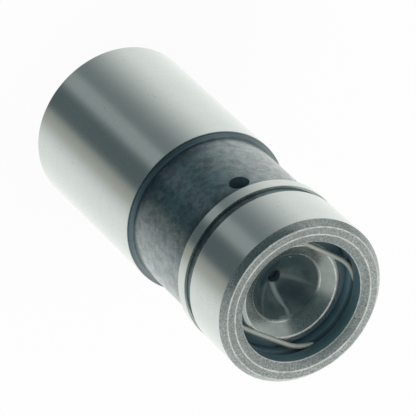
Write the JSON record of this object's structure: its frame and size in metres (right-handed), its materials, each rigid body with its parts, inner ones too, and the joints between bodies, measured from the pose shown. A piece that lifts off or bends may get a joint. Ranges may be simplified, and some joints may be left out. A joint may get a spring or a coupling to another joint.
{
  "type": "hydraulic valve lifter",
  "caption": "Flat-foot hydraulic valve lifter: ground steel body with an oiled waist, a sprung plunger with a check valve, and a cupped pushrod seat under a wire clip.",
  "frame": {"origin": "middle of the foot's face, which rides on the cam", "axes": "+Z along the lifter's axis to the open pushrod end, -Y through the oil hole in the waist"},
  "size_m": [0.0222, 0.0222, 0.0504],
  "materials": {
    "ground_steel": "ground bright on the lands, blackened in the waist, the grooves and the bore",
    "clip_wire": "drawn spring wire, satin",
    "seat_steel": "satin on the dished top, smooth and dark in the socket",
    "disc_steel": "lapped",
    "plunger_steel": "finely ground",
    "ball_steel": "polished",
    "cage_steel": "pressed sheet, satin",
    "spring_wire": "drawn spring wire"
  },
  "bodies": {
    "lifter": {"lifter_body": "ground_steel", "retaining_clip": "clip_wire", "plunger_spring": "spring_wire"},
    "plunger_unit": {"plunger": "plunger_steel", "pushrod_seat": "seat_steel", "metering_disc": "disc_steel", "check_retainer": "cage_steel", "check_spring": "spring_wire"},
    "ball": {"check_ball": "ball_steel"}
  },
  "joints": [
    {"name": "plunger_travel", "type": "slide", "parent": "lifter", "child": "plunger_unit", "axis": [0, 0, -1], "range_m": [0, 0.0034], "stiffness_N_per_m": 1500, "springref_m": -0.0015, "deforming": ["plunger_spring"]},
    {"name": "check_ball_lift", "type": "slide", "parent": "plunger_unit", "child": "ball", "axis": [0, 0, -1], "range_m": [0, 0.0003], "stiffness_N_per_m": 40, "springref_m": -0.0004, "deforming": ["check_spring"]}
  ]
}
